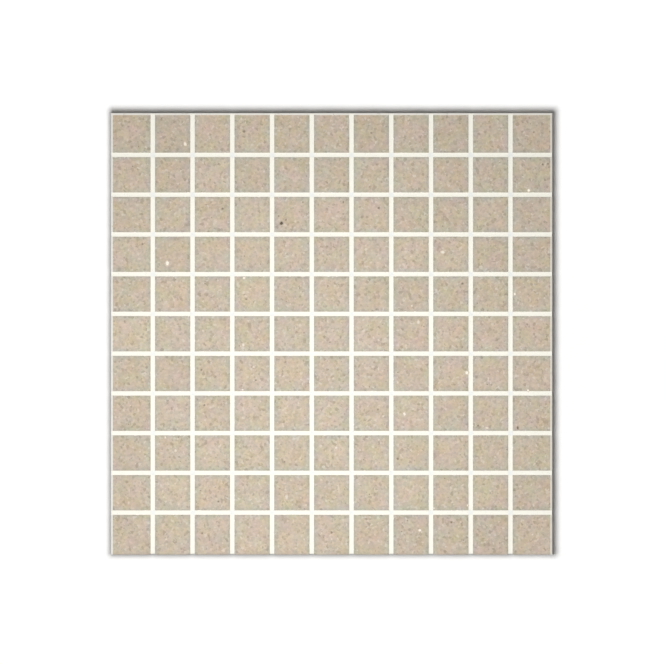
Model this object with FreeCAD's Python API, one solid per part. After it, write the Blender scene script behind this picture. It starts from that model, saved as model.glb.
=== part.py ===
# Mosaic tile sheet: square stone chips in a grid, white filler in the joints between them,
# and a glass-fibre net bonded to the chips' backs.
#
# Millimetres. X runs across the sheet, Y runs up it, +Z points out of the polished face.
# The origin is at the middle of the sheet, on the plane of the net's underside, which is the
# plane that the sheet is bedded on.

import math
import os

import FreeCAD
import Part

# Chips. One large tile is sawn at a steady pitch, so the outer chips keep what is left over,
# and with it the wide shallow bevel of the large tile's own edge.
CHIPS_ACROSS = 11
CHIPS_UP = 11
CHIP_SIZE = 24.0
EDGE_CHIP_SIZE = 27.0
CHIP_THICKNESS = 10.0
SAWN_ARRIS = 0.3
OUTER_BEVEL_WIDTH = 1.0
OUTER_BEVEL_DEPTH = 0.4

# Joints and the white filler in them, which is struck off to a shallow hollow
JOINT_WIDTH = 3.0
FILLER_BELOW_ARRIS = 0.05
HOLLOW_DEPTH = 0.2
HOLLOW_SLOPE_WIDTH = 0.8
FILLER_END_SETBACK = 0.5

# Backing net: weft yarns underneath, and warp yarns laid across them against the chips
NET_PITCH = 12.0
NET_SETBACK = 2.0
WEFT_WIDTH = 1.2
WARP_WIDTH = 0.9
YARN_THICKNESS = 0.25
CROSSINGS_IN_A_PANEL = 400

# Heights that follow from the sizes above
CHIP_BACK_Z = 2 * YARN_THICKNESS
FACE_Z = CHIP_BACK_Z + CHIP_THICKNESS
FILLER_EDGE_Z = FACE_Z - SAWN_ARRIS - FILLER_BELOW_ARRIS

# How a chip's top edges are eased: how far in over the face, and how far down the side
SAWN_EASE = (SAWN_ARRIS, SAWN_ARRIS)
OUTER_EASE = (OUTER_BEVEL_WIDTH, OUTER_BEVEL_DEPTH)


class Strip:
    """One column or row of chips: where it starts and ends, and how each edge is eased."""

    def __init__(self, start, size, start_ease, end_ease):
        self.start = start
        self.end = start + size
        self.start_ease = start_ease
        self.end_ease = end_ease


def strips(count):
    """The columns or rows of chips, centred on zero, with a joint between neighbours."""
    sizes = [CHIP_SIZE] * count
    sizes[0] = sizes[-1] = EDGE_CHIP_SIZE
    start = -(sum(sizes) + JOINT_WIDTH * (count - 1)) / 2
    made = []
    for i, size in enumerate(sizes):
        start_ease = OUTER_EASE if i == 0 else SAWN_EASE
        end_ease = OUTER_EASE if i == count - 1 else SAWN_EASE
        made.append(Strip(start, size, start_ease, end_ease))
        start += size + JOINT_WIDTH
    return made


def block(x_span, y_span, z_span):
    """Rectangular solid between three pairs of coordinates."""
    low = FreeCAD.Vector(x_span[0], y_span[0], z_span[0])
    lengths = [span[1] - span[0] for span in (x_span, y_span, z_span)]
    return Part.makeBox(*lengths, low)


def bar_along_y(section, y_span):
    """Bar with a section given as (x, z) points, run along Y."""
    outline = [FreeCAD.Vector(x, y_span[0], z) for x, z in section]
    face = Part.Face(Part.makePolygon(outline + outline[:1]))
    return face.extrude(FreeCAD.Vector(0, y_span[1] - y_span[0], 0))


def bar_along_x(section, x_span):
    """Bar with a section given as (y, z) points, run along X."""
    outline = [FreeCAD.Vector(x_span[0], y, z) for y, z in section]
    face = Part.Face(Part.makePolygon(outline + outline[:1]))
    return face.extrude(FreeCAD.Vector(x_span[1] - x_span[0], 0, 0))


def chip_section(strip):
    """Section across a strip: square at the foot, both top edges eased."""
    start_in, start_down = strip.start_ease
    end_in, end_down = strip.end_ease
    return [
        (strip.start, CHIP_BACK_Z),
        (strip.end, CHIP_BACK_Z),
        (strip.end, FACE_Z - end_down),
        (strip.end - end_in, FACE_Z),
        (strip.start + start_in, FACE_Z),
        (strip.start, FACE_Z - start_down),
    ]


def chip(column, row):
    """One sawn chip: the common part of its column's bar and its row's bar."""
    upright = bar_along_y(chip_section(column), (row.start, row.end))
    level = bar_along_x(chip_section(row), (column.start, column.end))
    return upright.common(level)


def chip_row(columns, row):
    """The chips of one row, as solids that stand a joint apart."""
    return Part.makeCompound([chip(column, row) for column in columns])


def outer_span(chip_strips, setback):
    """From one side of the sheet to the other, less a setback at both ends."""
    return (chip_strips[0].start + setback, chip_strips[-1].end - setback)


def hollow_section(before, after):
    """What is struck off above the joint between two strips: a flat floor between two slopes."""
    floor_z = FILLER_EDGE_Z - HOLLOW_DEPTH
    return [
        (before.end, FACE_Z),
        (before.end, FILLER_EDGE_Z),
        (before.end + HOLLOW_SLOPE_WIDTH, floor_z),
        (after.start - HOLLOW_SLOPE_WIDTH, floor_z),
        (after.start, FILLER_EDGE_Z),
        (after.start, FACE_Z),
    ]


def joint_filler(columns, rows):
    """The filler of all joints, cast as one lattice that stops just short of the sheet's sides."""
    x_span = outer_span(columns, FILLER_END_SETBACK)
    y_span = outer_span(rows, FILLER_END_SETBACK)
    slab = block(x_span, y_span, (CHIP_BACK_Z, FILLER_EDGE_Z))
    pockets = [
        block((column.start, column.end), (row.start, row.end), (0, FACE_Z))
        for column in columns
        for row in rows
    ]
    hollows = [bar_along_y(hollow_section(*pair), y_span) for pair in zip(columns, columns[1:])]
    hollows += [bar_along_x(hollow_section(*pair), x_span) for pair in zip(rows, rows[1:])]
    return slab.cut(pockets).cut(hollows)


def yarn_middles(span, yarn_width):
    """Middle lines of the yarns that fit across a span, at the net's pitch and centred on it."""
    gaps = int((span[1] - span[0] - yarn_width) // NET_PITCH)
    centre = (span[0] + span[1]) / 2
    return [centre + NET_PITCH * (i - gaps / 2) for i in range(gaps + 1)]


def net_panel(warp_middles, weft_middles, x_span, y_span):
    """Warp and weft yarns of one strip of the net, fused where they cross."""
    wefts = [
        block(x_span, (y - WEFT_WIDTH / 2, y + WEFT_WIDTH / 2), (0, YARN_THICKNESS))
        for y in weft_middles
    ]
    warps = [
        block((x - WARP_WIDTH / 2, x + WARP_WIDTH / 2), y_span, (YARN_THICKNESS, CHIP_BACK_Z))
        for x in warp_middles
    ]
    return wefts[0].multiFuse(wefts[1:] + warps).removeSplitter()


def net_panels(columns, rows):
    """The net in equal strips across the sheet, so that none has too many crossings."""
    x_span = outer_span(columns, NET_SETBACK)
    y_span = outer_span(rows, NET_SETBACK)
    warp_middles = yarn_middles(x_span, WARP_WIDTH)
    weft_middles = yarn_middles(y_span, WEFT_WIDTH)
    panel_count = math.ceil(len(warp_middles) * len(weft_middles) / CROSSINGS_IN_A_PANEL)
    wefts_in_panel = math.ceil(len(weft_middles) / panel_count)
    panels = []
    low = y_span[0]
    for first in range(0, len(weft_middles), wefts_in_panel):
        wefts = weft_middles[first : first + wefts_in_panel]
        is_last = first + wefts_in_panel >= len(weft_middles)
        high = y_span[1] if is_last else wefts[-1] + NET_PITCH / 2
        panels.append(net_panel(warp_middles, wefts, x_span, (low, high)))
        low = high
    return panels


def main():
    columns = strips(CHIPS_ACROSS)
    rows = strips(CHIPS_UP)
    parts = {f"chip_row_{i:02d}": chip_row(columns, row) for i, row in enumerate(rows, 1)}
    parts["joint_filler"] = joint_filler(columns, rows)
    for i, panel in enumerate(net_panels(columns, rows), 1):
        parts[f"backing_net_{i}"] = panel
    os.makedirs("parts", exist_ok=True)
    for name, shape in parts.items():
        shape.exportStep(f"parts/{name}.step")
        print(f"{name}: {len(shape.Solids)} solids, {len(shape.Faces)} faces, {shape.Volume:.1f} mm3")


main()
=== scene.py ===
# Looks of a mosaic tile sheet: polished quartz chips with mirror shards in them, white filler in
# the joints, and a woven glass net on the back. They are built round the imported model.
#
# Metres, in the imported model's own frame: the sheet lies on Z = 0 with its face up, +X runs
# across it and +Y up it.

import math

import bpy
import mathutils
import numpy as np
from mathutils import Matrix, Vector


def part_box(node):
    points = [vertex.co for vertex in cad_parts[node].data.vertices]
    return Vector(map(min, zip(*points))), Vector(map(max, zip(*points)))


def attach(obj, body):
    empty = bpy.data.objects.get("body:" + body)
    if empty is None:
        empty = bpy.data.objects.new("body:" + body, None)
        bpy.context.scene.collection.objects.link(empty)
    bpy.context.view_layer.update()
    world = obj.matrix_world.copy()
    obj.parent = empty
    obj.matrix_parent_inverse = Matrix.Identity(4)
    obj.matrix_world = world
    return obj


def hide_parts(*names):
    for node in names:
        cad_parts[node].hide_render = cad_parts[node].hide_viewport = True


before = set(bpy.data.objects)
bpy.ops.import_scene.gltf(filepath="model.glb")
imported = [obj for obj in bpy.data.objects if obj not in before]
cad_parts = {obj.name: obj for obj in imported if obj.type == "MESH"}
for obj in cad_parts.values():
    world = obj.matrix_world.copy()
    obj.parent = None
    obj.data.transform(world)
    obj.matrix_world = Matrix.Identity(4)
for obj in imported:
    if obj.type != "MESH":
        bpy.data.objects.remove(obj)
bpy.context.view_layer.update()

MM = 0.001

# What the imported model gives: the span of each row of chips, and the heights. The sheet is
# square, so its columns lie as its rows do.
ROW_NODES = sorted(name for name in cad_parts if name.startswith("chip_row_"))
NET_NODES = sorted(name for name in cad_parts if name.startswith("backing_net_"))
ROW_BOXES = [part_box(name) for name in ROW_NODES]
STRIPS = [(low.y, high.y) for low, high in ROW_BOXES]
BACK_Z = ROW_BOXES[0][0].z
FACE_Z = ROW_BOXES[0][1].z
SHEET_WIDTH = STRIPS[-1][1] - STRIPS[0][0]
PITCH = STRIPS[2][0] - STRIPS[1][0]
HALF_CHIP = (STRIPS[1][1] - STRIPS[1][0]) / 2
FILLER_LOW, FILLER_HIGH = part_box("joint_filler")
NET_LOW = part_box(NET_NODES[0])[0]
NET_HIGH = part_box(NET_NODES[-1])[1]

# Chip edges, as in the model: a fine 45 degree arris along a saw cut, a wide shallow bevel on
# the sheet's own sides
ARRIS_WIDTH = 0.3 * MM
ARRIS_DEPTH = 0.3 * MM
BEVEL_WIDTH = 1.0 * MM
BEVEL_DEPTH = 0.4 * MM
POINTS_TO_A_SIDE = 40
EASE_STEPS = (0.0, 0.4, 1.0)
SPALL_SHARE = 0.09
SPALL_DEPTH = 0.34 * MM
SAW_JAG = 0.035 * MM
TONE_SPREAD = 0.014

# White film that the jointing left along the sheet's own sides, over the bevel and a little of
# the face, with painted highlight in it: strongest at the top, weaker at the left and right, and
# none at the bottom. For each side: which axis, which end of it, and how dense
FILM_AND_HIGHLIGHT_SIDES = (("X", -1, 0.85), ("X", 1, 0.72), ("Y", 1, 1.0))
FILM_AND_HIGHLIGHT_WIDTH = 1.3 * MM
FILM_AND_HIGHLIGHT_FADE = 0.2 * MM

# Grey haze of filler that dulls a chip's face towards its joints, and painted shade that makes
# its rim next to the joints a little darker
HAZE_WIDTH = 4.6 * MM
HAZE_BEYOND = 0.5 * MM
PAINTED_RIM_SHADE_WIDTH = 1.8 * MM

# Quartz composite: the sizes of its crushed stone, clouds and blotches. All colours are linear
# red, green, blue and alpha. The resin's are split, because its blue varies apart from the rest.
SAND_SIZE = 1.0 * MM
GRAIN_SIZE = 1.7 * MM
RAGGED_SIZE = 0.8 * MM
RAGGED_REACH = 0.5 * MM
CLOUD_SIZE = 2.2 * MM
ROSE_SIZE = 11 * MM
YELLOW_SIZE = 8 * MM
ROSE_RESIN = (0.622, 0.444, 0, 1)
GREEN_RESIN = (0.510, 0.500, 0, 1)
RESIN_BLUE = (0, 0, 0.440, 1)
YELLOWED_BLUE = (0, 0, 0.281, 1)
COOL_CHIP = (0.991, 1.003, 1, 1)
WARM_CHIP = (1.009, 0.997, 1, 1)
PALE_GRAIN = (0.84, 0.77, 0.68, 1)
DARK_GRAIN = (0.24, 0.18, 0.12, 1)
DARK_SAND = (0.25, 0.20, 0.15, 1)
HAZE_TINT = (0.885, 0.98, 1.05, 1)
SAWN_STONE = (0.70, 0.63, 0.53, 1)
SAW_LINES_A_METRE = (60, 60, 2600)
SAW_RELIEF = 0.05 * MM
# White of the film of filler on the sheet's sides and of the painted highlight in it
FILM_AND_HIGHLIGHT_WHITE = (0.973, 0.952, 0.875, 1)
FILM_AND_HIGHLIGHT_PATCH = 1.6 * MM

# Filler, which is greyer and cooler where joints cross: painted shade of the deeper hollow there
MORTAR_SAND = 0.42 * MM
MORTAR_CLOUD = 9 * MM
MORTAR_TOOTH = 0.5 * MM
MORTAR_RELIEF = 0.05 * MM
IVORY = (0.988, 0.961, 0.864, 1)
PAINTED_CROSSING_SHADE = (0.870, 0.897, 0.885, 1)
CROSSING_FADE = 1 * MM

# Glass yarn, with glue on it in places. Its filaments are fine across a yarn and long along it.
FILAMENTS_ALONG_X = (180, 9000, 9000)
FILAMENTS_ALONG_Y = (9000, 180, 9000)
FILAMENT_RELIEF = 0.03 * MM
GLUE_SIZE = 14 * MM
YARN_SHADE = (0.70, 0.72, 0.69, 1)
YARN_WHITE = (0.88, 0.89, 0.86, 1)
NET_GLUE = (0.80, 0.79, 0.70, 1)

# Silvered glass and smoky quartz
SCUFF_SIZE = 0.5 * MM
SMOKE_SIZE = 0.6 * MM
CREAM_MIRROR = (1.0, 0.96, 0.85, 1)
SCUFFED_MIRROR = (0.98, 0.90, 0.77, 1)
CLOUDED_MIRROR = (0.70, 0.61, 0.49, 1)
MIRROR_RIM = (0.72, 0.62, 0.50, 1)
SHALLOW_SMOKE = (0.29, 0.23, 0.165, 1)
DEEP_SMOKE = (0.06, 0.04, 0.02, 1)
SMOKE_CLOUD = (0.33, 0.26, 0.19, 1)
SMOKE_RIM = (0.43, 0.355, 0.265, 1)

# Filler: half a joint's section from its middle out, as shares of half its width. What lies
# past 1 runs on inside the chips, so that a spalled edge shows filler and no gap.
SECTION_SHARES = (0.0, 0.27, 0.54, 0.8, 1.0, 1.27)
LINES_IN_A_CHIP = 9
HOLLOW_DEPTH = 0.2 * MM
HOLLOW_POWER = 2.6
WING_DROP = 0.03 * MM
UNDERSIDE_RECESS = 0.03 * MM
END_SMEAR = 0.35 * MM
RIPPLE_HEIGHT = 0.035 * MM
RIPPLE_LENGTHS = (2.5 * MM, 14 * MM)
RIPPLE_COUNT = 28

# Net: flat weft strands, and warps that are each two strands crossing over from weft to weft
NET_PITCH = 12 * MM
WEFT_WIDTH = 1.2 * MM
WARP_STRAND_WIDTH = 0.5 * MM
WARP_SWING = 0.22 * MM
STRAND_THICKNESS = 0.155 * MM
STRAND_SIDES = 6
STEPS_IN_A_PITCH = 6
ROUNDING = 0.01 * MM

# Mirror shards that the photo shows. Scratch scripts measured most of these numbers in it:
# across and up from the sheet's middle, and size, in mm, and how brightly each shines
MIRROR_SHARDS = (
    (-99.5, 129.0, 3.3, 0.6), (-111.5, 48.0, 4.6, 1.0), (-59.5, 38.0, 2.9, 0.9),
    (134.0, 97.5, 3.1, 1.0), (75.5, 55.5, 3.5, 0.6), (54.5, 19.0, 1.9, 0.3),
    (59.0, 8.0, 3.1, 0.4), (124.5, 27.0, 2.2, 1.0), (-60.0, -7.5, 3.1, 0.6),
    (-53.0, -22.5, 2.3, 0.4), (-60.5, -38.0, 2.0, 0.8), (45.0, -33.0, 2.0, 0.3),
    (92.0, -26.5, 3.8, 1.0), (133.5, -38.5, 2.4, 1.0), (49.5, -54.5, 3.4, 0.8),
    (35.0, -56.0, 2.0, 0.3), (105.5, -64.0, 2.3, 0.4), (-113.0, -70.5, 2.1, 0.6),
    (3.0, -77.5, 2.8, 0.5), (-106.0, -79.5, 2.3, 0.4), (-30.5, -111.0, 3.6, 0.3),
    (-17.5, -116.5, 1.9, 0.2), (92.5, -116.5, 1.9, 0.6), (60.0, -133.5, 2.9, 0.9),
    (136.5, -136.5, 1.7, 0.2), (69.5, -118.5, 1.8, 0.6),
)
# Smoky quartz grains that the photo shows, mostly measured in the same way, and how dark each is
SMOKY_GRAINS = (
    (-34.0, 75.0, 3.9, 1.0), (-74.0, 85.0, 2.2, 0.2), (-59.5, 137.5, 2.7, 0.0),
    (27.0, 136.5, 1.9, 0.1), (32.0, 85.5, 2.4, 0.1), (89.0, 34.0, 2.3, 0.2),
    (143.5, 115.0, 2.0, 0.2), (31.5, -51.5, 1.7, 0.0), (45.0, -85.0, 2.4, 0.4),
    (126.5, -64.0, 2.9, 0.4), (99.5, -62.5, 2.1, 0.3), (-32.0, -87.0, 1.7, 0.0),
    (-77.0, -114.0, 1.9, 0.1), (81.5, -128.0, 2.3, 0.2), (-88.5, -24.5, 2.0, 0.1),
    (-86.5, -48.5, 2.0, 0.1), (-88.0, -135.5, 1.9, 0.0), (0.0, -135.0, 2.1, 0.0),
    (-51.5, -31.5, 1.7, 0.1), (-128.5, 61.0, 1.9, 0.0), (8.0, 89.5, 1.9, 0.0),
    (-19.5, 89.5, 1.5, 0.0), (-58.0, 23.5, 2.0, 0.0), (-36.0, 80.0, 1.6, 0.1),
    (-31.0, 77.5, 1.9, 0.1), (-2.5, 32.5, 1.4, 0.0), (147.0, 115.5, 1.9, 0.1),
    (137.5, 137.0, 1.5, 0.0), (145.0, 104.5, 1.6, 0.0),
)
# Small ones of both kinds at random places: how many, the range of their sizes in mm, and the
# range of how bright or dark they are
SMALL_SHARDS = (40, (0.4, 0.8), (0.1, 0.7))
SMALL_GRAINS = (60, (0.8, 1.3), (0.0, 0.15))
CLEAR_OF_JOINTS = 0.06
# The cut of both kinds: how many corners, how unevenly they lie round and reach out, the share
# that is core, the stretch, and how far they stand out of the face and go down
SHARD_CORNERS = 7
SHARD_SWAY = 0.3
SHARD_REACHES = (0.72, 1.08)
SHARD_CORE = 0.62
SHARD_STRETCH = 0.22
SHARD_PROUD = 0.012 * MM
SHARD_SUNK = 0.25 * MM

# Where each kind of random draw starts from
CHIP_SEED = 27
FILLER_SEED = 3
SHARD_SEED = 11

# Photo, camera and studio. Pixels are the photo's own, 665 across. The lamp's power is in
# watts, and the sky gives its share of all the light. Rays that light the scene meet a floor
# of one shade, and rays that see it meet another.
PHOTO_PIXELS = 665
SHEET_PIXELS = 441.4
SHEET_MIDDLE_PIXEL = (331.6, 333.8)
LENS_MM = 500
SENSOR_MM = 36
KEY_PLACE = mathutils.Vector((-0.058, -0.068, 0.600))
KEY_AIM = mathutils.Vector((0.070, 0.0, 0.0))
KEY_SIDE = 0.30
KEY_POWER = 3.75
SKY_SHARE = 0.10
FLOOR_RADIUS = 6.0
FLOOR_SEEN = 0.92
FLOOR_LIT = 0.40
FLOOR_CORNERS = 96


class Value:
    """A node's output. Arithmetic on it adds Math nodes, so that a formula is read as one."""

    def __init__(self, recipe, socket):
        self.recipe = recipe
        self.socket = socket

    def __add__(self, other):
        return self.recipe.math("ADD", self, other)

    def __radd__(self, other):
        return self.recipe.math("ADD", other, self)

    def __sub__(self, other):
        return self.recipe.math("SUBTRACT", self, other)

    def __rsub__(self, other):
        return self.recipe.math("SUBTRACT", other, self)

    def __mul__(self, other):
        return self.recipe.math("MULTIPLY", self, other)

    def __rmul__(self, other):
        return self.recipe.math("MULTIPLY", other, self)

    def rise(self, start, end):
        """0 below start, 1 above end, and a smooth step between them. It falls if end is lower."""
        settings = {"interpolation_type": "SMOOTHSTEP"}
        inputs = {"Value": self, "From Min": start, "From Max": end}
        return self.recipe.node("ShaderNodeMapRange", settings, inputs)["Result"]


class Recipe:
    """The node tree of one material or of the world."""

    def __init__(self, owner):
        owner.use_nodes = True
        self.tree = owner.node_tree
        self.tree.nodes.clear()

    def node(self, kind, settings, inputs):
        """Adds a node: its settings first, then each input's value or link. Gives its outputs."""
        made = self.tree.nodes.new(kind)
        for name, value in settings.items():
            setattr(made, name, value)
        for name, value in inputs.items():
            if isinstance(name, int):
                socket = made.inputs[name]
            else:
                socket = next(s for s in made.inputs if s.name == name and s.enabled)
            if isinstance(value, Value):
                self.tree.links.new(value.socket, socket)
            else:
                socket.default_value = value
        return {s.name: Value(self, s) for s in made.outputs if s.enabled}

    def math(self, operation, a, b):
        """What a Math node makes of two numbers."""
        return self.node("ShaderNodeMath", {"operation": operation}, {0: a, 1: b})["Value"]

    def vector(self, operation, a, b):
        """What a Vector Math node makes of two vectors: its outputs by name."""
        return self.node("ShaderNodeVectorMath", {"operation": operation}, {0: a, 1: b})

    def mix(self, factor, a, b):
        """Colour a where the factor is 0, colour b where it is 1."""
        inputs = {"Factor": factor, "A": a, "B": b}
        return self.node("ShaderNodeMix", {"data_type": "RGBA"}, inputs)["Result"]

    def scaled(self, colour, factor):
        """A colour made lighter or darker by a factor."""
        inputs = {"Vector": colour, "Scale": factor}
        return self.node("ShaderNodeVectorMath", {"operation": "SCALE"}, inputs)["Vector"]

    def place(self):
        """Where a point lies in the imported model's frame."""
        return self.node("ShaderNodeTexCoord", {}, {})["Object"]

    def from_middles(self, place):
        """How far out from the middle of its chip a place lies along X and along Y. Past the
        outermost chips' middles it is 0, for no joint lies there."""
        along = self.node("ShaderNodeSeparateXYZ", {}, {"Vector": place})
        last_middle = PITCH * (len(STRIPS) - 1) / 2
        outs = []
        for axis in "XY":
            out = self.math("ABSOLUTE", along[axis], 0)
            outs.append(self.math("PINGPONG", self.math("MINIMUM", out, last_middle), PITCH / 2))
        return outs

    def stretched(self, place, scale):
        """Coordinates in which a pattern is repeated scale times a metre along X, Y and Z."""
        return self.node("ShaderNodeMapping", {}, {"Vector": place, "Scale": scale})["Vector"]

    def noise(self, place, size, detail=2.0):
        """Cloudy noise about 0.5, with patches of about the size given."""
        inputs = {"Vector": place, "Scale": 1 / size, "Detail": detail}
        return self.node("ShaderNodeTexNoise", {}, inputs)["Fac"]

    def shaken(self, place, size, reach):
        """Coordinates moved about by noise of a size, by up to about a reach along each axis."""
        inputs = {"Vector": place, "Scale": 1 / size, "Detail": 1.0}
        noise = self.node("ShaderNodeTexNoise", {}, inputs)["Color"]
        settings = {"operation": "MULTIPLY_ADD"}
        inputs = {0: noise, 1: (reach, reach, reach), 2: place}
        return self.node("ShaderNodeVectorMath", settings, inputs)["Vector"]

    def grains(self, place, size):
        """Packed angular grains of about the size given, each with three random numbers."""
        cells = self.node("ShaderNodeTexVoronoi", {}, {"Vector": place, "Scale": 1 / size})
        chances = self.node("ShaderNodeSeparateColor", {}, {"Color": cells["Color"]})
        return chances["Red"], chances["Green"], chances["Blue"]

    def seen(self):
        """1 for rays that show the scene, straight or in a mirror, and 0 for those that light it."""
        path = self.node("ShaderNodeLightPath", {}, {})
        return path["Is Camera Ray"] + path["Is Glossy Ray"] + path["Is Transmission Ray"]

    def fact(self, name):
        """A number that the mesh holds for each face."""
        settings = {"attribute_name": name}
        return self.node("ShaderNodeAttribute", settings, {})["Fac"]

    def bump(self, height, distance, strength):
        """The normal of a surface with fine relief. A height of 1 stands a distance out."""
        inputs = {"Height": height, "Distance": distance, "Strength": strength}
        return self.node("ShaderNodeBump", {}, inputs)["Normal"]

    def finish(self, inputs):
        """Ends a material in its Principled shader."""
        shader = self.node("ShaderNodeBsdfPrincipled", {}, inputs)["BSDF"]
        self.node("ShaderNodeOutputMaterial", {}, {"Surface": shader})


def new_recipe(name):
    """An empty material and its recipe."""
    material = bpy.data.materials.new(name)
    return material, Recipe(material)


def crushed_quartz(recipe, place, sand, grains):
    """Colour of the cut stone: crushed quartz of two sizes in beige resin that is blotched with
    rose, green and yellow, with some paler and darker grains. Each chip has its tone and hue."""
    sand_tone, sand_pick, _ = sand
    grain_tone, grain_pick, pale_pick = grains
    cloud = recipe.noise(place, CLOUD_SIZE, 1.0)
    red_and_green = recipe.mix(recipe.noise(place, ROSE_SIZE), ROSE_RESIN, GREEN_RESIN)
    blue = recipe.mix(recipe.noise(place, YELLOW_SIZE), RESIN_BLUE, YELLOWED_BLUE)
    ground = recipe.vector("ADD", red_and_green, blue)["Vector"]
    tint = recipe.mix(recipe.fact("hue"), COOL_CHIP, WARM_CHIP)
    ground = recipe.vector("MULTIPLY", ground, tint)["Vector"]
    light = 0.775 + 0.10 * sand_tone + 0.17 * grain_tone + 0.20 * cloud
    ground = recipe.scaled(ground, light * recipe.fact("tone"))
    pale = pale_pick.rise(0.92, 0.95)
    ground = recipe.mix(pale * 0.29, ground, PALE_GRAIN)
    dark = grain_pick.rise(0.92, 0.94)
    ground = recipe.mix(dark * 0.32, ground, DARK_GRAIN)
    dust = sand_pick.rise(0.955, 0.965)
    return recipe.mix(dust * 0.32, ground, DARK_SAND)


def side_film_and_highlight(recipe, place):
    """How densely the white film and its painted highlight cover a place, along the sheet's own sides."""
    along = recipe.node("ShaderNodeSeparateXYZ", {}, {"Vector": place})
    inner = SHEET_WIDTH / 2 - FILM_AND_HIGHLIGHT_WIDTH
    film_and_highlight = 0.0
    for axis, end, density in FILM_AND_HIGHLIGHT_SIDES:
        band = (along[axis] * end).rise(inner - FILM_AND_HIGHLIGHT_FADE, inner + FILM_AND_HIGHLIGHT_FADE) * density
        film_and_highlight = recipe.math("MAXIMUM", film_and_highlight, band)
    return film_and_highlight * recipe.noise(place, FILM_AND_HIGHLIGHT_PATCH).rise(0.15, 0.36)


def polished_quartz():
    """Quartz composite through its whole depth. Its face is polished, hazy towards the joints
    and a little darker at its rim, which is painted shade. Its sides and back are left as the saw
    and the press made them."""
    material, recipe = new_recipe("polished_quartz")
    place = recipe.place()
    sawn = recipe.fact("sawn")
    ragged = recipe.shaken(place, RAGGED_SIZE, RAGGED_REACH)
    sand = recipe.grains(ragged, SAND_SIZE)
    grains = recipe.grains(ragged, GRAIN_SIZE)
    sand_tone, grain_tone = sand[0], grains[0]
    ground = crushed_quartz(recipe, place, sand, grains)

    out = recipe.math("MAXIMUM", *recipe.from_middles(place))
    haze = out.rise(HALF_CHIP - HAZE_WIDTH, HALF_CHIP + HAZE_BEYOND)
    painted_rim_shade = out.rise(HALF_CHIP - PAINTED_RIM_SHADE_WIDTH, HALF_CHIP - 0.4 * PAINTED_RIM_SHADE_WIDTH)
    dulling = {"Factor": haze, "A": ground, "B": HAZE_TINT}
    settings = {"data_type": "RGBA", "blend_type": "MULTIPLY"}
    ground = recipe.node("ShaderNodeMix", settings, dulling)["Result"]
    # Painted shade: each chip's rim next to its joints is made a little darker
    ground = recipe.scaled(ground, 1 - 0.035 * painted_rim_shade)

    # The film along the sheet's sides is partly painted highlight, over the bevel and the face
    film_and_highlight = side_film_and_highlight(recipe, place) * sawn.rise(0.9, 0.6)
    matt = recipe.mix(sawn * 0.35, ground, SAWN_STONE)
    colour = recipe.mix(film_and_highlight, matt, FILM_AND_HIGHLIGHT_WHITE)

    saw_lines = recipe.noise(recipe.stretched(place, SAW_LINES_A_METRE), 1.0)
    roughness = 0.16 + 0.05 * grain_tone + 0.42 * sawn + 0.2 * film_and_highlight + 0.1 * haze
    normal = recipe.bump(saw_lines + sand_tone * 0.3, SAW_RELIEF, sawn * 0.6)
    recipe.finish({"Base Color": colour, "Roughness": roughness, "Normal": normal, "IOR": 1.5})
    return material


def white_filler():
    """Ivory-white fine mortar: sandy, a little uneven in shade, matt."""
    material, recipe = new_recipe("white_filler")
    place = recipe.place()
    sand, pit_pick, _ = recipe.grains(place, MORTAR_SAND)
    cloud = recipe.noise(place, MORTAR_CLOUD)
    shade = 0.99 + 0.012 * sand + 0.02 * cloud
    pit = pit_pick.rise(0.95, 0.97)
    out_x, out_y = recipe.from_middles(place)
    both_out = recipe.math("MINIMUM", out_x, out_y)
    # Painted shade: greyer and cooler where joints cross
    crossing_shade = both_out.rise(HALF_CHIP - CROSSING_FADE, HALF_CHIP + CROSSING_FADE)
    mortar = recipe.mix(crossing_shade * 0.8, IVORY, PAINTED_CROSSING_SHADE)
    colour = recipe.scaled(mortar, shade - 0.10 * pit)
    height = recipe.noise(place, MORTAR_TOOTH, 3.0) - 0.8 * pit
    normal = recipe.bump(height, MORTAR_RELIEF, 0.5)
    recipe.finish({"Base Color": colour, "Roughness": 0.78, "Normal": normal, "IOR": 1.45})
    return material


def glass_yarn():
    """Sized glass yarn: white with a slight green-grey cast, fine filaments along each strand."""
    material, recipe = new_recipe("glass_yarn")
    place = recipe.place()
    along_x = recipe.noise(recipe.stretched(place, FILAMENTS_ALONG_X), 1.0)
    along_y = recipe.noise(recipe.stretched(place, FILAMENTS_ALONG_Y), 1.0)
    runs_up = recipe.fact("runs_up")
    filament = recipe.mix(runs_up, along_x, along_y)
    glue = recipe.noise(place, GLUE_SIZE).rise(0.5, 0.62)
    colour = recipe.mix(filament, YARN_SHADE, YARN_WHITE)
    colour = recipe.mix(glue * 0.6, colour, NET_GLUE)
    normal = recipe.bump(filament, FILAMENT_RELIEF, 0.6)
    recipe.finish({"Base Color": colour, "Roughness": 0.42, "Normal": normal, "IOR": 1.52})
    return material


def mirror_glass():
    """Silvered glass, faintly scuffed by the polishing, that looks cream through the resin. The
    less of it lies clear, the duller it is, and its rim is dulled by the resin over it."""
    material, recipe = new_recipe("mirror_glass")
    place = recipe.place()
    scuff = recipe.noise(place, SCUFF_SIZE, 3.0)
    bright = recipe.mix(scuff, CREAM_MIRROR, SCUFFED_MIRROR)
    core = recipe.mix(recipe.fact("strength"), CLOUDED_MIRROR, bright)
    colour = recipe.mix(recipe.fact("rim"), core, MIRROR_RIM)
    recipe.finish({"Base Color": colour, "Roughness": 0.09, "Metallic": 1.0})
    return material


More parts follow.
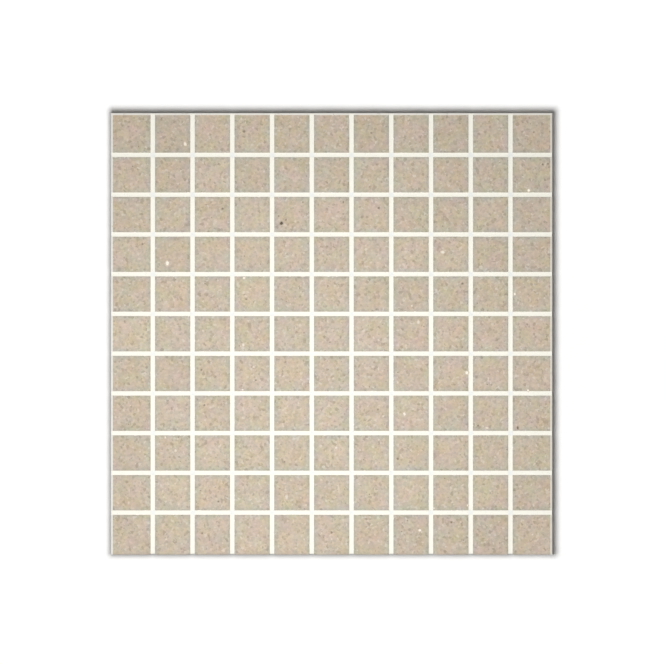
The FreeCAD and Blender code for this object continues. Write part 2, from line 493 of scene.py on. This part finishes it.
def smoky_quartz():
    """Brown glassy grain. The deeper it reaches, the darker it is, and its rim is thin."""
    material, recipe = new_recipe("smoky_quartz")
    place = recipe.place()
    cloud = recipe.noise(place, SMOKE_SIZE, 3.0)
    depth = recipe.mix(recipe.fact("strength"), SHALLOW_SMOKE, DEEP_SMOKE)
    core = recipe.mix(cloud.rise(0.3, 0.7) * 0.25, depth, SMOKE_CLOUD)
    colour = recipe.mix(recipe.fact("rim"), core, SMOKE_RIM)
    recipe.finish({"Base Color": colour, "Roughness": 0.18, "IOR": 1.54})
    return material


def add_piece(name, points, faces, material, stands_for=(), facts=None):
    """A mesh that rides on the sheet. Facts are numbers for each face that its material reads."""
    mesh = bpy.data.meshes.new(name)
    mesh.from_pydata(points.reshape(-1, 3).tolist(), [], faces)
    for fact, values in (facts or {}).items():
        layer = mesh.attributes.new(fact, "FLOAT", "FACE")
        layer.data.foreach_set("value", np.asarray(values, np.float32).ravel())
    mesh.materials.append(material)
    made = bpy.data.objects.new(name, mesh)
    bpy.context.scene.collection.objects.link(made)
    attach(made, "root")
    if stands_for:
        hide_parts(*stands_for)


def walls_between(rings):
    """Faces of a tube: rings (m, k) of point numbers, each joined to the next, all round."""
    here, there = rings[:-1], rings[1:]
    ahead = np.roll(rings, -1, axis=1)
    walls = np.stack([here, ahead[:-1], ahead[1:], there], axis=-1)
    return walls.reshape(-1, 4).tolist()


def square_round():
    """Places round a square with a side of 1, anticlockwise from the corner at 0, 0, evenly
    spaced, and at each place the way in: a step of 1 across, up or, at a corner, both."""
    step = np.arange(POINTS_TO_A_SIDE) / POINTS_TO_A_SIDE
    low, high = np.zeros(POINTS_TO_A_SIDE), np.ones(POINTS_TO_A_SIDE)
    across = np.concatenate([step, high, 1 - step, low])
    up = np.concatenate([low, step, high, 1 - step])
    way_in = np.stack([(across == 0) * 1.0 - (across == 1), (up == 0) * 1.0 - (up == 1)])
    return across, up, way_in


def spalls(chance, count):
    """How far each point of `count` chip edges is broken back. A few random points are broken,
    their neighbours half as much, and every point has the saw's fine jag. Corners stay whole."""
    points = 4 * POINTS_TO_A_SIDE
    bite = np.clip((chance.random((count, points)) - 1 + SPALL_SHARE) / SPALL_SHARE, 0, 1)
    bite = bite + (np.roll(bite, 1, axis=1) + np.roll(bite, -1, axis=1)) / 2
    past_corner = np.arange(points) % POINTS_TO_A_SIDE
    bite = bite * ((past_corner > 1) & (past_corner < POINTS_TO_A_SIDE - 1))
    return SPALL_DEPTH * np.minimum(bite, 1) ** 1.5 + SAW_JAG * chance.random((count, points))


def add_chip_row(row, material, chance):
    """One row of chips. Each is a profile carried round its outline: up its side, and over its
    eased edge in rings that each lie a share of the ease further in. The height there is the
    face's, less the largest of the four sides' drops: a side's drop is its full depth at the
    side, and falls evenly to nothing at the ease's width. A spall moves a ring in and down."""
    last = len(STRIPS) - 1
    across, up, way_in = square_round()
    lows = np.array([[low, STRIPS[row][0]] for low, _ in STRIPS])
    highs = np.array([[high, STRIPS[row][1]] for _, high in STRIPS])
    columns = np.arange(len(STRIPS))
    outer = np.stack(
        [np.full(last + 1, row == 0), columns == last, np.full(last + 1, row == last), columns == 0],
        axis=1,
    )
    width = np.where(outer, BEVEL_WIDTH, ARRIS_WIDTH)
    depth = np.where(outer, BEVEL_DEPTH, ARRIS_DEPTH)
    bottom, right, top, left = (side[:, None] for side in width.T)
    broken = spalls(chance, last + 1)
    rings = []
    for share in EASE_STEPS:
        span_x = (highs - lows)[:, :1] - share * (left + right)
        span_y = (highs - lows)[:, 1:] - share * (bottom + top)
        x = lows[:, :1] + share * left + across * span_x + way_in[0] * broken * share
        y = lows[:, 1:] + share * bottom + up * span_y + way_in[1] * broken * share
        from_sides = np.stack([y - lows[:, 1:], highs[:, :1] - x, highs[:, 1:] - y, x - lows[:, :1]])
        drops = depth.T[:, :, None] * (1 - from_sides / width.T[:, :, None])
        drop = np.maximum(drops.max(axis=0), 0) + broken * (1 - share) ** 1.5
        z = FACE_Z - drop * (share < 1)
        rings.append(np.stack([x, y, z], axis=-1))
    foot = rings[0].copy()
    foot[..., 2] = BACK_Z
    points = np.stack([foot, *rings], axis=1)

    ring_points = 4 * POINTS_TO_A_SIDE
    ring_count = len(EASE_STEPS) + 1
    faces, sawn = [], []
    for column in columns:
        first = column * ring_count * ring_points
        numbers = first + np.arange(ring_count * ring_points).reshape(ring_count, ring_points)
        faces += walls_between(numbers)
        faces += [numbers[-1].tolist(), numbers[0, ::-1].tolist()]
        sawn += [1.0] * ring_points + [0.5] * ring_points * (ring_count - 2) + [0.0, 1.0]
    faces_in_a_chip = len(faces) // len(columns)
    tone = np.repeat(chance.normal(1.0, TONE_SPREAD, len(columns)), faces_in_a_chip)
    hue = np.repeat(chance.random(len(columns)), faces_in_a_chip)
    facts = {"sawn": sawn, "tone": tone, "hue": hue}
    name = f"quartz_row_{row + 1:02d}"
    add_piece(name, points, faces, material, [ROW_NODES[row]], facts)


def lattice_lines():
    """Where the filler's grid has its lines, the same both ways. For each: its place, how full
    of hollow the joint is there, from 0 at a joint's edge to 1 in its middle, and whether it
    lies beyond the joint. For each gap between lines: whether filler lies in it. The hollow is
    1 less a power of the way out."""
    half = np.array(SECTION_SHARES)
    shares = np.concatenate([-half[:0:-1], half])
    hollow = 1 - np.minimum(np.abs(shares), 1) ** HOLLOW_POWER
    clear = LINES_IN_A_CHIP
    places, hollows, beyond, filled = [[FILLER_LOW.x]], [[0.0]], [[True]], []
    for (_, before), (after, _) in zip(STRIPS, STRIPS[1:]):
        joint = (before + after) / 2 + shares * (after - before) / 2
        places += [np.linspace(places[-1][-1], joint[0], clear + 2)[1:-1], joint]
        hollows += [np.zeros(clear), hollow]
        beyond += [[True] * clear, np.abs(shares) > 1]
        filled += [False] * (clear + 1) + [True] * (len(shares) - 1)
    places.append(np.linspace(places[-1][-1], FILLER_HIGH.x, clear + 2)[1:])
    hollows.append(np.zeros(clear + 1))
    beyond.append([True] * (clear + 1))
    filled += [False] * (clear + 1)
    return (*(np.concatenate(part) for part in (places, hollows, beyond)), np.array(filled))


def ripples(x, y, chance):
    """Gentle unevenness: the mean of many sine waves of random heading, length and phase."""
    heading = chance.random(RIPPLE_COUNT) * 2 * math.pi
    length = chance.uniform(*RIPPLE_LENGTHS, RIPPLE_COUNT)
    phase = chance.random(RIPPLE_COUNT) * 2 * math.pi
    run = x[..., None] * np.cos(heading) + y[..., None] * np.sin(heading)
    waves = np.sin(2 * math.pi * run / length + phase).sum(axis=-1)
    return RIPPLE_HEIGHT * waves / math.sqrt(RIPPLE_COUNT / 2)


def add_filler(material, chance):
    """The filler in all joints, as one closed lattice. Its top is the joint's edge height less
    the deeper of the two joints' hollows, over a flat underside. Ripples run along the hollows
    and fade out at the joints' edges. On the sides that carry the film of filler and its painted
    highlight, the joints' ends are smeared further out."""
    lines, hollows, beyond, filled = lattice_lines()
    x, y = np.meshgrid(lines, lines, indexing="ij")
    x[0] -= END_SMEAR
    x[-1] += END_SMEAR
    y[:, -1] += END_SMEAR
    hollow = np.maximum(hollows[:, None], hollows[None, :])
    wing = beyond[:, None] & beyond[None, :]
    z = FILLER_HIGH.z - WING_DROP * wing - HOLLOW_DEPTH * hollow
    z = z + ripples(x, y, chance) * np.minimum(hollow * 3, 1)
    top = np.stack([x, y, z], axis=-1)
    underside = np.stack([x, y, np.full_like(x, FILLER_LOW.z + UNDERSIDE_RECESS)], axis=-1)
    kept = filled[:, None] | filled[None, :]

    count = len(lines)
    upper = np.arange(count * count).reshape(count, count)
    lower = upper + count * count
    a, b = upper[:-1, :-1], upper[1:, :-1]
    c, d = upper[1:, 1:], upper[:-1, 1:]
    tops = np.stack([a, b, c, d], axis=-1)[kept]
    undersides = tops[:, ::-1] + count * count
    edged = np.pad(kept, 1)
    gap_below = kept & ~edged[1:-1, :-2]
    gap_above = kept & ~edged[1:-1, 2:]
    gap_left = kept & ~edged[:-2, 1:-1]
    gap_right = kept & ~edged[2:, 1:-1]
    walls = [
        np.stack([start, end, end + count * count, start + count * count], axis=-1)[gap]
        for start, end, gap in ((b, a, gap_below), (d, c, gap_above), (a, d, gap_left), (c, b, gap_right))
    ]
    faces = np.concatenate([tops, undersides, *walls])
    used, numbers = np.unique(faces, return_inverse=True)
    points = np.concatenate([top.reshape(-1, 3), underside.reshape(-1, 3)])[used]
    faces = numbers.reshape(faces.shape).tolist()
    add_piece("white_joints", points, faces, material, ["joint_filler"])


def strands(path, width, sideways):
    """Flat oval tubes along paths (n, m, 3): at each point an oval of the width given, lying
    along the sideways direction, and as thick as a strand. Gives points and faces with ends."""
    turn = 2 * math.pi * np.arange(STRAND_SIDES) / STRAND_SIDES
    oval = np.cos(turn)[:, None] * np.array(sideways) * width / 2
    oval = oval + np.sin(turn)[:, None] * np.array([0, 0, STRAND_THICKNESS / 2])
    points = path[:, :, None, :] + oval
    count, steps = path.shape[:2]
    numbers = np.arange(count * steps * STRAND_SIDES).reshape(count, steps, STRAND_SIDES)
    faces = []
    for strand in numbers:
        faces += walls_between(strand)
        faces += [strand[0, ::-1].tolist(), strand[-1].tolist()]
    return points.reshape(-1, 3), faces


def net_lines(low, high, width):
    """Middles of the yarns that fit between two ends, at the net's pitch and centred."""
    gaps = int((high - low - width + ROUNDING) // NET_PITCH)
    return (low + high) / 2 + NET_PITCH * (np.arange(gaps + 1) - gaps / 2)


def add_net(material):
    """The woven net. A weft runs straight at half the net's height. The two strands of a warp
    swing from side to side as a cosine that turns over at each weft, one above the wefts and
    one below, and come nearest in height where they cross, halfway between wefts."""
    middle_z = (NET_LOW.z + NET_HIGH.z) / 2
    lift = (NET_HIGH.z - NET_LOW.z) / 2 - STRAND_THICKNESS / 2
    columns = net_lines(NET_LOW.x, NET_HIGH.x, WEFT_WIDTH)
    rows = net_lines(NET_LOW.y, NET_HIGH.y, WEFT_WIDTH)
    steps = STEPS_IN_A_PITCH * (len(rows) + 1)
    along = np.linspace(NET_LOW.y, NET_HIGH.y, steps)

    x, y = np.meshgrid(np.linspace(NET_LOW.x, NET_HIGH.x, steps), rows)
    weft_points, weft_faces = strands(
        np.stack([x, y, np.full_like(x, middle_z)], axis=-1), WEFT_WIDTH, (0, 1, 0)
    )
    swing = np.cos(math.pi * (along - rows[0]) / NET_PITCH)
    rise = STRAND_THICKNESS / 2 + (lift - STRAND_THICKNESS / 2) * swing**2
    sides = []
    for over in (1, -1):
        x = columns[:, None] + over * WARP_SWING * swing
        y = np.broadcast_to(along, x.shape)
        z = np.broadcast_to(middle_z + over * rise, x.shape)
        sides.append(np.stack([x, y, z], axis=-1))
    warp_points, warp_faces = strands(np.concatenate(sides), WARP_STRAND_WIDTH, (-1, 0, 0))

    faces = weft_faces + [[n + len(weft_points) for n in face] for face in warp_faces]
    runs_up = [0.0] * len(weft_faces) + [1.0] * len(warp_faces)
    points = np.concatenate([weft_points, warp_points])
    add_piece("woven_net", points, faces, material, NET_NODES, {"runs_up": runs_up})


def random_places(count, sizes, strengths, chance):
    """Places on random chips' faces, in mm, each with a size in mm and a strength. They keep
    clear of a chip's edges by a share of its width."""
    strip = np.array(STRIPS)[chance.integers(0, len(STRIPS), (count, 2))]
    share = chance.uniform(CLEAR_OF_JOINTS, 1 - CLEAR_OF_JOINTS, (count, 2))
    place = strip[..., 0] + share * (strip[..., 1] - strip[..., 0])
    size = chance.uniform(*sizes, count)
    return np.column_stack([place / MM, size, chance.uniform(*strengths, count)])


def add_shards(name, places, material, chance):
    """Splinters set in the chips and polished with them. Each is a low prism on an uneven
    polygon: its corners lie at steady turns, moved a little, at uneven reaches, and it is
    stretched one way. A smaller copy of the polygon bounds its core."""
    middle, size = places[:, :2] * MM, places[:, 2:3] * MM
    count = len(places)
    turn = np.arange(SHARD_CORNERS) + SHARD_SWAY * chance.uniform(-1, 1, (count, SHARD_CORNERS))
    turn = 2 * math.pi * (turn / SHARD_CORNERS + chance.random((count, 1)))
    reach = size / 2 * chance.uniform(*SHARD_REACHES, (count, SHARD_CORNERS))
    stretch = 1 + SHARD_STRETCH * chance.uniform(-1, 1, (count, 1))
    x, y = reach * np.cos(turn) * stretch, reach * np.sin(turn) / stretch
    levels = [(1, -SHARD_SUNK), (1, SHARD_PROUD / 2), (SHARD_CORE, SHARD_PROUD)]
    rings = [
        np.stack([middle[:, :1] + share * x, middle[:, 1:] + share * y, 0 * x + FACE_Z + rise], -1)
        for share, rise in levels
    ]
    points = np.stack(rings, axis=1)
    numbers = np.arange(points.size // 3).reshape(points.shape[:-1])
    faces = []
    for shard in numbers:
        faces += walls_between(shard)
        faces += [shard[0, ::-1].tolist(), shard[-1].tolist()]
    faces_in_one = len(faces) // count
    rim = [1.0] * (faces_in_one - 1) + [0.0]
    facts = {"rim": rim * count, "strength": np.repeat(places[:, 3], faces_in_one)}
    add_piece(name, points, faces, material, facts=facts)


def add_floor():
    """A wide pale floor. The camera and mirrors see it evenly white, with the sheet's shadow on
    it: its shade as seen is the inverse of the light of the lamp and the sky. The lamp's is its
    height times the way ahead of it, over the fourth power of the distance."""
    material, recipe = new_recipe("studio_floor")
    from_lamp = recipe.vector("SUBTRACT", recipe.place(), KEY_PLACE)["Vector"]
    ahead = recipe.vector("DOT_PRODUCT", from_lamp, (KEY_AIM - KEY_PLACE).normalized())["Value"]
    far = recipe.vector("DISTANCE", recipe.place(), KEY_PLACE)["Value"]
    lamp_light = recipe.math("MAXIMUM", ahead, 0) * recipe.math("POWER", far, -4) * KEY_PLACE.z**3
    light = SKY_SHARE + (1 - SKY_SHARE) * lamp_light
    shade = recipe.math("DIVIDE", FLOOR_SEEN, light)
    shaders = [
        recipe.node("ShaderNodeBsdfDiffuse", {}, {"Color": colour})["BSDF"]
        for colour in ((FLOOR_LIT, FLOOR_LIT, FLOOR_LIT, 1), recipe.scaled((1, 1, 1), shade))
    ]
    inputs = {"Fac": recipe.seen(), 1: shaders[0], 2: shaders[1]}
    mixed = recipe.node("ShaderNodeMixShader", {}, inputs)
    recipe.node("ShaderNodeOutputMaterial", {}, {"Surface": mixed["Shader"]})
    turn = 2 * math.pi * np.arange(FLOOR_CORNERS) / FLOOR_CORNERS
    rim = FLOOR_RADIUS * np.stack([np.cos(turn), np.sin(turn), 0 * turn], axis=-1)
    mesh = bpy.data.meshes.new("studio_floor")
    mesh.from_pydata(rim.tolist(), [], [list(range(FLOOR_CORNERS))])
    mesh.materials.append(material)
    floor = bpy.data.objects.new("studio_floor", mesh)
    bpy.context.scene.collection.objects.link(floor)


def add_sky():
    """An even sky. It is white as seen, and gives the sheet a fixed share of its light."""
    world = bpy.data.worlds.new("studio_sky")
    recipe = Recipe(world)
    strength = SKY_SHARE + (1 - SKY_SHARE) * recipe.seen()
    white = {"Color": (1, 1, 1, 1), "Strength": strength}
    background = recipe.node("ShaderNodeBackground", {}, white)["Background"]
    recipe.node("ShaderNodeOutputWorld", {}, {"Surface": background})
    bpy.context.scene.world = world


def add_key_light():
    """One lamp as wide as the sheet, above it and a little to its lower left. It is so near
    that the sheet's shadow shows on all sides. The camera looks through it, and the polish
    doesn't mirror it."""
    lamp = bpy.data.lights.new("key_light", "AREA")
    lamp.shape = "SQUARE"
    lamp.size = KEY_SIDE
    lamp.energy = KEY_POWER
    key = bpy.data.objects.new("key_light", lamp)
    bpy.context.scene.collection.objects.link(key)
    key.location = KEY_PLACE
    key.rotation_euler = (KEY_AIM - KEY_PLACE).to_track_quat("-Z", "Y").to_euler()
    key.visible_camera = key.visible_glossy = key.visible_transmission = False


def add_camera():
    """Looks straight down, from where the sheet's face fills as many pixels as in the photo.
    A camera that isn't turned looks down, with +Y up in its picture."""
    pixel = SHEET_WIDTH / SHEET_PIXELS
    across = (PHOTO_PIXELS / 2 - SHEET_MIDDLE_PIXEL[0]) * pixel
    up = (SHEET_MIDDLE_PIXEL[1] - PHOTO_PIXELS / 2) * pixel
    height = PHOTO_PIXELS * pixel * LENS_MM / SENSOR_MM
    lens = bpy.data.cameras.new("camera")
    lens.lens = LENS_MM
    lens.sensor_width = SENSOR_MM
    camera = bpy.data.objects.new("camera", lens)
    bpy.context.scene.collection.objects.link(camera)
    camera.location = (across, up, FACE_Z + height)
    bpy.context.scene.camera = camera


def main():
    quartz = polished_quartz()
    chip_chance = np.random.default_rng(CHIP_SEED)
    for row in range(len(STRIPS)):
        add_chip_row(row, quartz, chip_chance)
    add_filler(white_filler(), np.random.default_rng(FILLER_SEED))
    add_net(glass_yarn())
    chance = np.random.default_rng(SHARD_SEED)
    mirrors = np.concatenate([MIRROR_SHARDS, random_places(*SMALL_SHARDS, chance)])
    add_shards("mirror_shards", mirrors, mirror_glass(), chance)
    grains = np.concatenate([SMOKY_GRAINS, random_places(*SMALL_GRAINS, chance)])
    add_shards("smoky_grains", grains, smoky_quartz(), chance)
    add_floor()
    add_sky()
    add_key_light()
    add_camera()
    bpy.context.scene.view_settings.view_transform = "Standard"


main()
